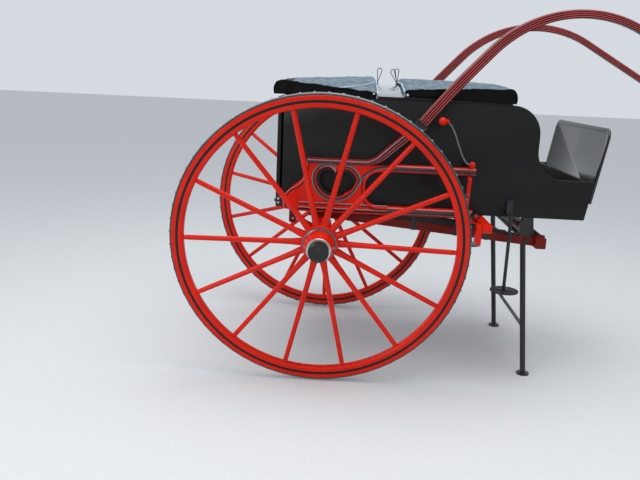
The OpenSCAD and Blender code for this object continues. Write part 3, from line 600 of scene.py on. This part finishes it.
# ---------- shafts ----------
# Steamed lancewood shafts, maroon, worked with four reeds along each face. The crown of each reed and
# the top edge are painted pink and the reed flanks a lighter red: painted highlights. The lower length,
# bolted to the carved panel, has one bead over a black hollow, its crown painted pale as a painted
# highlight, and ends under the collar in a comb of flutes.
maroon = paint("maroon", (0.030, 0.0018, 0.0020), 0.25, gloss=0.3, coat=0.1)
reed_highlight = paint("reed_highlight", (0.36, 0.125, 0.13), 0.3, gloss=0.3)
reed_lit_red = paint("reed_lit_red", (0.26, 0.008, 0.006), 0.28, gloss=0.25)
shaft_half = 0.020
reed_angles = (180, 130, 102, 78, 50)
foot_marks = [(0.0, 0.0150), (0.0020, 0.0185), (0.0075, 0.0185), (0.0085, 0.0160), (0.0100, 0.0190),
              (0.0140, 0.0200), (0.0175, 0.0190), (0.0190, 0.0160), (0.0255, 0.0155), (0.0262, 0.0175),
              (0.0285, 0.0188), (0.0320, 0.0188), (0.0340, 0.0175), (0.0350, 0.0155), (0.0400, 0.0155),
              (0.0410, 0.0175), (0.0430, 0.0188), (0.0460, 0.0188), (0.0480, 0.0175), (0.0545, 0.0175),
              (0.0570, 0.0150)]
# The bead crowns are painted pale grey or pink and their flanks a lighter red, as painted highlights.
foot_paints = [0, 4, 5, 4, 2, 2, 5, 5, 5, 4, 1, 4, 5, 5, 5, 4, 1, 4, 5, 0]


def foot_face(depth):
    """Points (across, out) down the outer face, all held to the top edge and squeezed below the bead."""
    kept, spread = 0.0195, (depth - 0.0195) / (0.057 - 0.0195)
    marks = [(t if t <= kept else kept + (t - kept) * spread, v) for t, v in foot_marks]
    return [(depth / 2 - t, v) for t, v in marks]


def reeded_face(depth):
    points = []
    for reed in range(4):
        middle, half = depth * (0.33 - 0.22 * reed), depth * 0.11
        points += [(middle - half * math.cos(math.radians(a)), 0.0165 + 0.0035 * math.sin(math.radians(a)))
                   for a in reed_angles]
    return [(depth * 0.5, 0.0150)] + points + [(-depth * 0.44, 0.0165), (-depth * 0.5, 0.0150)]


# The reed crowns and the top edge are painted pink and the reed flanks a lighter red, painted highlights.
reed_paints = [1] + [0, 4, 1, 4, 0] * 4 + [0]
shaft_rise = 42
rise_cos, rise_sin = math.cos(math.radians(shaft_rise)), math.sin(math.radians(shaft_rise))
collar_place = course(-0.088, 1.168, 0, (0.303, 0), (0.130, shaft_rise, 8), (0.232, 0))[-1]
lower_line = course(-0.088, 1.168, 0, (0.303, 0, 4), (0.130, shaft_rise, 8), (0.232, 0, 3),
                    (0.012, 0))
lower_depth = [0.026] * 5 + [0.026 + 0.0248 * (i + 1) / 8 for i in range(8)] + [0.0518, 0.0529, 0.0539, 0.057]
upper_line = course(collar_place[0] - axle_x, collar_place[1], shaft_rise, (0.150, 10, 3), (4.5, -5, 6),
                    (0.1, 0), (0.62, -77, 24), (0.9, 0, 4), (0.7, 26, 10), (0.52, 0, 2))
upper_depth = [0.057 - 0.023 * min(1.0, i / 37 if i < 38 else 1.0) for i in range(len(upper_line))]
shaft_y = abs(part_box("shaft_right")[0].y) - shaft_half
draw_in = math.radians(3.0)


def shaft_ring(place, depth, face, out, turned_in):
    """One ring of the shaft: the face's points outside, and the same points mirrored inside."""
    x, z, heading = place
    aim = math.radians(heading)
    ring = []
    for across, reach in face + [(a, -v) for a, v in reversed(face)]:
        point_x = x - math.sin(aim) * across
        point_y = reach
        if turned_in:
            run = point_x - collar_place[0]
            point_x = collar_place[0] + run * math.cos(draw_in) + reach * math.sin(draw_in)
            point_y = reach * math.cos(draw_in) - run * math.sin(draw_in)
        ring.append((point_x, out * (shaft_y + point_y), z + math.cos(aim) * across))
    return ring


for side, out in (("right", -1), ("left", 1)):
    rings = [shaft_ring(place, depth, foot_face(depth), out, False)
             for place, depth in zip(lower_line, lower_depth)]
    bm = bmesh.new()
    joined(bm, swept(rings, foot_paints + [0] + foot_paints[::-1] + [0]), [Matrix()])
    rings = [shaft_ring(place, depth, reeded_face(depth), out, True)
             for place, depth in zip(upper_line, upper_depth)]
    joined(bm, swept(rings, reed_paints + [0] + reed_paints[::-1] + [0]), [Matrix()])
    flute = plank((-0.026, -0.0021, -0.0012), (0.026, 0.0021, 0.0022), 0.0012, 1)
    seats = [facing(collar_place[0] - 0.030 * rise_cos - across * rise_sin, out * (shaft_y + 0.0185),
                    collar_place[1] - 0.030 * rise_sin + across * rise_cos, out)
             @ Matrix.Rotation(math.radians(-out * shaft_rise), 4, "Z")
             for across in (-0.018, -0.009, 0.0, 0.009, 0.018)]
    joined(bm, flute, seats, 3)
    shaft = added("swan_shaft_" + side, bm, "carriage", "maroon_paint",
                  maroon, reed_highlight, bead_highlight, vermilion, reed_lit_red, line_black)
    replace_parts(shaft, "shaft_" + side)


def collar_lips(bm):
    bmesh.ops.translate(bm, vec=(0.0095, 0, 0.0102), verts=bm.verts)
    ends = [f for f in bm.faces if abs(f.normal.y) > 0.99]
    bmesh.ops.inset_individual(bm, faces=ends, thickness=0.0035, depth=0.0)
    bmesh.ops.inset_individual(bm, faces=ends, thickness=0.0012, depth=-0.0012)


finished("shaft_clips", "shaft_collars", 0.0015, "carriage", "black_iron", iron_black, extra=collar_lips)

# ---------- running gear: axle and sole bars ----------
# A square steel axle bed lies in red blocks under two ash sole bars, which carry the springs. Forged
# plates, hangers and eyes are bolted to the bars, and each spring is a pack of leaves held by clips.
dark_red = paint("dark_red", (0.125, 0.007, 0.003), 0.35, gloss=0.2)
finished("axle_bed", "axle", 0.003, "carriage", "dark_red_paint", dark_red)
finished("axle_saddles", "axle_blocks", 0.003, "carriage", "vermilion_paint", vermilion)
finished("shackle_plates", "rear_shackles", 0.002, "carriage", "dark_red_paint", dark_red)
finished("splinter_bar", "front_crossbar", 0.006, "carriage", "dark_red_paint", dark_red)
finished("spring_blocks", "spring_pads", 0.004, "carriage", "vermilion_paint", vermilion)
finished("hangers", "front_hangers", 0.003, "carriage", "black_iron", iron_black)
finished("trace_rings", "trace_eyes", 0.0015, "carriage", "black_iron", iron_black, limit=40.0)
sole_fall = math.radians(5.0)
leaf_count, leaf_t, leaf_back, leaf_fore = 5, 0.007, 0.560, 0.318
for side, out in (("right", -1), ("left", 1)):
    finished("sole_" + side, "sole_bar_" + side, 0.004, "carriage", "dark_red_paint", dark_red)
    low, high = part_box("spring_" + side)
    sole_low, sole_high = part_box("sole_bar_" + side)
    middle_x = axle_x + 0.720
    seat_z = sole_low.z + (sole_high.x - middle_x) * math.tan(sole_fall) + 0.045
    seat = Matrix.Translation((middle_x, 0, seat_z)) @ Matrix.Rotation(sole_fall, 4, "Y")
    bm = bmesh.new()
    for i in range(leaf_count):
        share = 1 - 0.16 * i
        joined(bm, plank((-leaf_back * share, low.y, i * leaf_t + 0.0002),
                         (leaf_fore * share, high.y, (i + 1) * leaf_t - 0.0003), 0.0022), [seat], 0)
    for clip in (-0.23, 0.0, 0.16):
        strap = plank((clip - 0.015, low.y - 0.0035, -0.047), (clip + 0.015, high.y + 0.0035, 0.0405), 0.002)
        joined(bm, strap, [seat], 0)
        seats = [seat @ Matrix.Translation((clip, y, 0.0405)) for y in (low.y + 0.005, high.y - 0.005)]
        joined(bm, turned([(0.0, 0.007), (0.0045, 0.007), (0.0055, 0.006), (0.0055, 0.0), (0.0, 0.0)], 6),
               seats, 0)
    leaves = added("leaves_" + side, bm, "carriage", "black_iron", iron_black)
    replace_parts(leaves, "spring_" + side)

# ---------- steps ----------
# A round iron tread on each side of the footwell, on a forged stem bolted to the body. Rings are cut in
# its face so that a shoe doesn't slip.
step_low, step_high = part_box("steps")
tread_r = 0.074
ridges = [(r / 1000, 0.008 - 0.0018 * (i % 2)) for i, r in enumerate(range(8, 72, 4))]
tread_profile = ([(0.0, 0.008)] + ridges
                 + [(0.0725, 0.008), (tread_r, 0.0065), (tread_r, 0.0015), (0.0725, 0.0), (0.0, 0.0)])


def ridged_treads(bm):
    for out in (-1, 1):
        seat = Matrix.Translation((axle_x + 0.985, out * (step_high.y - tread_r), step_low.z))
        joined(bm, turned(tread_profile, 40), [seat], 0)


finished("step_irons", "steps", 0.001, "carriage", "black_iron", iron_black, limit=40.0, extra=ridged_treads)

# ---------- brake: beam and shoes ----------
# A cross beam under the body carries a block in front of each tyre. Both are ash, with eased edges and
# the same red paint as the wheels.
finished("brake_bar", "brake_beam", 0.004, "carriage", "dark_red_paint", vermilion)
finished("brake_blocks", "brake_shoes", 0.006, "carriage", "dark_red_paint", vermilion)

# ---------- brake: rod and lever ----------
# The hand lever is a thin bent iron with a turned red ball. It turns on a red boss over the middle rail
# and works a red rod down to the beam.
worn_iron = paint("worn_iron", (0.13, 0.135, 0.14), 0.4)
link_iron = paint("link_iron", (0.09, 0.045, 0.06), 0.35)
rod_low, rod_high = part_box("brake_rod")
lever_low, lever_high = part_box("brake_lever")
lever_y = (lever_low.y + lever_high.y) / 2
pivot = Vector((axle_x + 0.755, lever_y, 1.182))
rod_top = Vector((pivot.x - 0.004, lever_y, 1.159))
rod_foot = Vector((pivot.x - 0.012, lever_y, 0.888))
down = rod_foot - rod_top
along_rod = down.to_track_quat("Z", "Y").to_matrix().to_4x4()
rod_length = down.length
rod_profile = [(0.0, 0.046), (0.0095, 0.046), (0.0115, 0.050), (0.0102, 0.056), (0.0102, 0.128),
               (0.0128, 0.131), (0.0128, 0.138), (0.0102, 0.141), (0.0092, rod_length - 0.022),
               (0.0120, rod_length - 0.018), (0.0120, rod_length - 0.010), (0.0090, rod_length - 0.006),
               (0.0, rod_length - 0.006)]
rail_face = min(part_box("side_rails_right")[0].y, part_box("side_rails_right")[1].y)
bm = bmesh.new()
rod_paints = [0, 0, 0, 0, 1, 1, 1, 0, 0, 1, 0, 0]
joined(bm, turned(rod_profile, 24, 360.0, rod_paints), [Matrix.Translation(rod_top) @ along_rod])
joined(bm, plank((pivot.x - 0.014, lever_y - 0.006, 1.104), (pivot.x + 0.004, rail_face, 1.117), 0.002),
       [Matrix()], 0)
joined(bm, plank((pivot.x - 0.009, lever_y + 0.002, 1.158),
                 (pivot.x + 0.009, rail_face + 0.004, 1.184), 0.003), [Matrix()], 0)
joined(bm, plank((rod_low.x, lever_y - 0.009, rod_low.z + 0.010),
                 (rod_high.x, lever_y + 0.009, rod_low.z + 0.032), 0.003), [Matrix()], 0)
curl_head = [(0.0, 0.012), (0.010, 0.012), (0.0185, 0.009), (0.0205, 0.004), (0.0205, -0.004), (0.0, -0.004)]
joined(bm, turned(curl_head, 28), [facing(axle_x + 0.795, lever_y - 0.010, 0.918, -1)], 2)
joined(bm, turned([(0.0, 0.004), (0.007, 0.0035), (0.010, 0.0), (0.0, 0.0)], 20),
       [facing(axle_x + 0.795, lever_y - 0.022, 0.918, -1)], 0)
pull = added("brake_pull", bm, "carriage", "vermilion_paint", vermilion, link_iron, iron_black)
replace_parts(pull, "brake_rod")
bends = [pivot + Vector((x, 0, z))
         for x, z in ((-0.008, 0), (-0.072, 0.004), (-0.090, 0.208), (-0.152, 0.212))]
rings = []
for i in range(25):
    t = i / 24
    place = ((1 - t) ** 3 * bends[0] + 3 * t * (1 - t) ** 2 * bends[1]
             + 3 * t * t * (1 - t) * bends[2] + t ** 3 * bends[3])
    run = ((1 - t) ** 2 * (bends[1] - bends[0]) + 2 * t * (1 - t) * (bends[2] - bends[1])
           + t * t * (bends[3] - bends[2])).normalized()
    across = Vector((-run.z, 0, run.x))
    wide = 0.0045 - 0.0012 * t
    rings.append([place + across * wide * math.cos(a) + Vector((0, 1, 0)) * 0.0036 * math.sin(a)
                  for a in (math.tau * k / 12 for k in range(12))])
bm = bmesh.new()
joined(bm, swept(rings), [Matrix()], 0)
boss = [(0.0, 0.0135), (0.006, 0.0130), (0.011, 0.0110), (0.0150, 0.0065), (0.0158, 0.0),
        (0.0150, -0.0115), (0.0, -0.0115)]
joined(bm, turned(boss, 32), [facing(pivot.x, lever_y, pivot.z, -1)], 1)
grip_r = 0.0208
grip = ([(grip_r * math.cos(math.radians(a)), grip_r * math.sin(math.radians(a))) for a in range(-90, 66, 12)]
        + [(0.0100, 0.0190), (0.0125, 0.0215), (0.0105, 0.0245), (0.0092, 0.0255), (0.0112, 0.0285),
           (0.0092, 0.0315), (0.0050, 0.0335), (0.0, 0.0340)])
joined(bm, turned(grip, 36),
       [Matrix.Translation(bends[3] + Vector((-0.015, 0, 0))) @ Matrix.Rotation(math.pi / 2, 4, "Y")], 1)
lever = added("hand_lever", bm, "carriage", "grey_iron", worn_iron, vermilion)
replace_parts(lever, "brake_lever")

# ---------- prop stand ----------
# Forged iron legs on a cross shaft hold the carriage level without its horse. They are braced to each
# other, and fold back beneath the body.
finished("prop", "prop_stand", 0.0015, "prop_stand", "black_iron", iron_black, limit=40.0)

# ---------- covers ----------
# Fitted leather covers over both seats, cut from one hide with the corners sewn up, bound with a piped
# edge and buttoned to a stud beside the bare deck. The tops and the ends that face the deck are painted
# blue-grey, partly the leather's own tone and partly a painted reflection of the sky. The sides and the
# far ends are black, and the rear end of the rear cover's top is painted black as painted shade.
cover_top = paint("cover_top", (0.085, 0.125, 0.165), 0.5, gloss=0.35, peel=0.0)
varied(cover_top, (0.042, 0.072, 0.105, 1), (0.150, 0.205, 0.255, 1), 34.0, "Base Color", 7.0)
grained(cover_top, 420.0, 0.0007, "PEBBLE")
cover_side = paint("cover_side", (0.0016, 0.0015, 0.0016), 0.4, gloss=0.12, peel=0.0)
grained(cover_side, 420.0, 0.0005, "PEBBLE")
# The pale blue-grey of the cord is a painted highlight where edges and folds catch the sky.
piping_sheen = paint("piping_sheen", (0.42, 0.56, 0.64), 0.35)
deck_rise, deck_half = 0.058, 0.470
deck_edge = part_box("top_deck")[1].z - deck_rise
half_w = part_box("rear_cover")[1].y


def deck_at(y):
    """Height of the crowned deck at a distance from the centre line."""
    curve = (deck_half ** 2 + deck_rise ** 2) / (2 * deck_rise)
    return deck_edge + math.sqrt(curve ** 2 - y * y) - (curve - deck_rise)


def fitted_cover(node, name, ends, ridge, middle, hems, facing_deck, seed):
    """A cover cut to (x, y) cells, shaped over its seat, with a fall on each side and at each end."""
    low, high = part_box(node)
    length, fall = high.x - low.x, 6
    cells_x, cells_y = round(length / 0.009) + 2 * fall, 96 + 2 * fall
    bm = bmesh.new()
    bmesh.ops.create_grid(bm, x_segments=cells_x, y_segments=cells_y, size=1.0)
    spare = []
    fall_or_shade = bm.verts.layers.int.new("fall_or_shade")
    for vert in bm.verts:
        i = round((vert.co.x + 1) / 2 * cells_x)
        j = round((vert.co.y + 1) / 2 * cells_y)
        along = min(max((i - fall) / (cells_x - 2 * fall), 0.0), 1.0)
        aside = min(max((j - fall) / (cells_y - 2 * fall), 0.0), 1.0)
        drop_x = max(fall - i, i - (cells_x - fall), 0) / fall
        drop_y = max(fall - j, j - (cells_y - fall), 0) / fall
        if drop_x > 0 and drop_y > 0:
            spare.append(vert)
            continue
        x, y = low.x + length * along, half_w * (2 * aside - 1)
        edge_z = ridge[0] + (ridge[1] - ridge[0]) * along
        swell = math.sin(math.pi * min(1.0, along * middle[3]))
        centre_z = middle[0] + (middle[1] - middle[0]) * swell + (middle[2] - middle[0]) * along
        z = edge_z + (centre_z - edge_z) * (1 - abs(y / half_w) ** 2.3)
        # The rear end of the rear cover's top turns away from the sky and is painted black: painted shade.
        if facing_deck and x - low.x < 0.085:
            vert[fall_or_shade] = 1
        for gap, r in ((x - low.x, ends[0]), (high.x - x, ends[1])):
            if gap < r:
                z -= (r - math.sqrt(r * r - (r - gap) ** 2)) * (0.55 + 0.45 * (1 - abs(y / half_w) ** 4))
        crease = noise.noise(Vector((x * 16, y * 7, seed))) * 0.0030
        crease += noise.noise(Vector((x * 40 + y * 12, y * 30, seed + 3))) * 0.0016
        pucker = noise.noise(Vector((x * 70, y * 8, seed + 7))) * 0.0030 * abs(y / half_w) ** 6
        ruck = -abs(noise.noise(Vector((x * 11 - y * 5, y * 9 + x * 4, seed + 11)))) * 0.0075
        hem_z = hems[0] + (hems[1] - hems[0]) * along
        out_x = out_y = 0.0
        if drop_x > 0:
            front = i > fall
            # The end that faces the deck takes the top's painted sky reflection; the far end is black.
            vert[fall_or_shade] = 0 if front == facing_deck else 1
            rest = deck_at(min(abs(y), deck_half)) + 0.0035
            base = (max(rest, hem_z) if abs(y) < 0.462 else hem_z) if front == facing_deck else hem_z
            z = z + (base - z) * drop_x
            out_x = 0.004 * math.sin(math.pi * drop_x)
            out_x += noise.noise(Vector((y * 26, drop_x, seed))) * 0.0022
            out_x *= 1 if front else -1
            pucker = ruck = crease = 0.0
        if drop_y > 0:
            vert[fall_or_shade] = 1
            z = z + (hem_z - z) * drop_y
            out_y = 0.003 * math.sin(math.pi * drop_y) * noise.noise(Vector((x * 20, drop_y * 0.7, seed + 5)))
            out_y = (out_y - 0.0015 * drop_y) * (1 if j > fall else -1)
            pucker = ruck = crease = 0.0
        vert.co = (x + out_x, y + out_y, z + crease + pucker + ruck)
    bmesh.ops.delete(bm, geom=spare, context="VERTS")
    bmesh.ops.remove_doubles(bm, verts=bm.verts, dist=0.0008)
    for face in bm.faces:
        # Marked faces take the black; the rest take the blue-grey with its painted sky reflection.
        face.material_index = 1 if any(vert[fall_or_shade] for vert in face.verts) else 0
    ridge_lines = {}
    for vert in bm.verts:
        if half_w - abs(vert.co.y) < 0.0045 and vert.co.z > 1.48:
            key = (round(vert.co.x, 3), vert.co.y > 0)
            if key not in ridge_lines or vert.co.z > ridge_lines[key].z:
                ridge_lines[key] = vert.co.copy()
    end_x = high.x if facing_deck else low.x
    ends_up = {}
    for vert in bm.verts:
        if abs(vert.co.x - end_x) < 0.0075:
            key = round(vert.co.y, 3)
            if key not in ends_up or vert.co.z > ends_up[key].z:
                ends_up[key] = vert.co.copy()
    tops = kdtree.KDTree(len(bm.verts))
    for i, vert in enumerate(bm.verts):
        tops.insert((vert.co.x, vert.co.y, 0.0 if vert[fall_or_shade] == 0 else 1.0), i)
    tops.balance()
    bm.verts.ensure_lookup_table()
    fold_lines = []
    for out in (-1, 1):
        fold_lines.append([])
        for i in range(41):
            t = i / 40
            x = end_x + (-0.19 + 0.188 * t) * (1 if facing_deck else -1)
            y = out * (half_w - 0.004 - 0.165 * t ** 1.3)
            near = [bm.verts[n[1]].co for n in tops.find_n((x, y, 0.0), 4)]
            z = sum(v.z for v in near) / 4
            fold_lines[-1].append(Vector((x, y, z + 0.0015)))
    under_side = bvhtree.BVHTree.FromBMesh(bm)
    cover = added(name, bm, "carriage", "cover_leather", cover_top, cover_side, crease=50)
    thick = cover.modifiers.new("hide", "SOLIDIFY")
    thick.thickness = 0.003
    thick.offset = -1.0
    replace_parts(cover, node)
    return cover, ridge_lines, [ends_up[key] for key in sorted(ends_up)], fold_lines, under_side


def piping(points, axis):
    """A leather-covered cord sewn in the seam, along points that run mainly on one axis."""
    rings = []
    for point in points:
        ring = []
        for k in range(10):
            a = math.tau * k / 10
            side, up = 0.0036 * math.cos(a), 0.0036 * math.sin(a)
            ring.append(point + (Vector((0, side, up)) if axis == "x" else Vector((side, 0, up))))
        rings.append(ring)
    return swept(rings)


cover_inside = {}
for node, name, ends, ridge, middle, hems, faces_deck, seed in (
        ("rear_cover", "cover_rear", (0.060, 0.022), (1.566, 1.519), (1.570, 1.572, 1.602, 0.9),
         (1.492, 1.492), True, 2.0),
        ("front_cover", "cover_front", (0.022, 0.050), (1.541, 1.566), (1.598, 1.600, 1.590, 1.0),
         (1.508, 1.492), False, 9.0)):
    cover, ridge_lines, end_line, fold_lines, under_side = fitted_cover(
        node, name, ends, ridge, middle, hems, faces_deck, seed)
    bm = bmesh.new()
    for upper in (False, True):
        line = [ridge_lines[key] for key in sorted(ridge_lines) if key[1] == upper]
        joined(bm, piping(line, "x"), [Matrix()], 1)
    # The cords at the deck end and along the folds are pale blue-grey, a painted highlight; the side cords
    # are black.
    joined(bm, piping(end_line, "y"), [Matrix()], 0)
    if faces_deck:
        for line in fold_lines:
            joined(bm, piping(line, "x"), [Matrix()], 0)
    cord = added(name + "_piping", bm, "carriage", "cover_leather", piping_sheen, cover_side)
    bm = bmesh.new()
    low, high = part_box(node)
    stud_x = high.x - 0.018 if faces_deck else low.x + 0.016
    for out in (-1, 1):
        joined(bm, stud(0.0062), [facing(stud_x, out * (half_w + 0.0005), 1.514, out)], 0)
    studs = added(name + "_studs", bm, "carriage", "grey_iron", bright_stud)
    cover_inside[node.split("_")[0]] = under_side

# ---------- cover loops ----------
# Three flat leather loops stand up beside the bare deck, for the covers' holding straps. They are
# stitched from narrow black strap.
strap_black = paint("strap_black", (0.012, 0.0115, 0.011), 0.3, gloss=0.6)
bm = bmesh.new()
joined(bm, softened("strap_loops", 0.0008, 40.0), [Matrix()], 0)
loops = added("loops", bm, "carriage", "strap_leather", strap_black)
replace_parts(loops, "strap_loops")

# ---------- cushions ----------
# Horsehair seat cushions in black cloth, hidden under the covers. Each is moulded to the crowned deck
# below and the cover above, and its sides pull in between the corners.
cloth_black = paint("cloth_black", (0.012, 0.012, 0.013), 0.9, gloss=0.2, peel=0.0008)
for place in ("rear", "front"):
    low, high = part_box(place + "_cushion")
    bm = bmesh.new()
    bmesh.ops.create_cube(bm, size=2.0)
    bmesh.ops.subdivide_edges(bm, edges=bm.edges, cuts=31, use_grid_fill=True)
    for vert in bm.verts:
        x_share, y_share, up = vert.co.x, vert.co.y, (vert.co.z + 1) / 2
        edge = max(abs(x_share), abs(y_share))
        corner = 1 - 0.05 * abs(x_share * y_share) ** 6
        pull = 0.010 * math.sin(math.pi * up) * (0.3 + 0.7 * (1 - abs(x_share * y_share)))
        x = (low.x + high.x) / 2 + x_share * corner * ((high.x - low.x) / 2 - 0.012 - pull)
        y = y_share * corner * (0.455 - pull)
        seat_z = deck_at(y) + 0.0025
        hit = cover_inside[place].ray_cast(Vector((x, y, seat_z)), Vector((0, 0, 1)))[0]
        roof = (hit.z if hit else seat_z + 0.02) - 0.0065
        full = max(0.004, (roof - seat_z) * (1.0 - 0.28 * edge ** 8))
        vert.co = (x, y, seat_z + full * up)
    pad = added("seat_pad_" + place, bm, "carriage", "cushion_cloth", cloth_black, crease=50)
    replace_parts(pad, place + "_cushion")
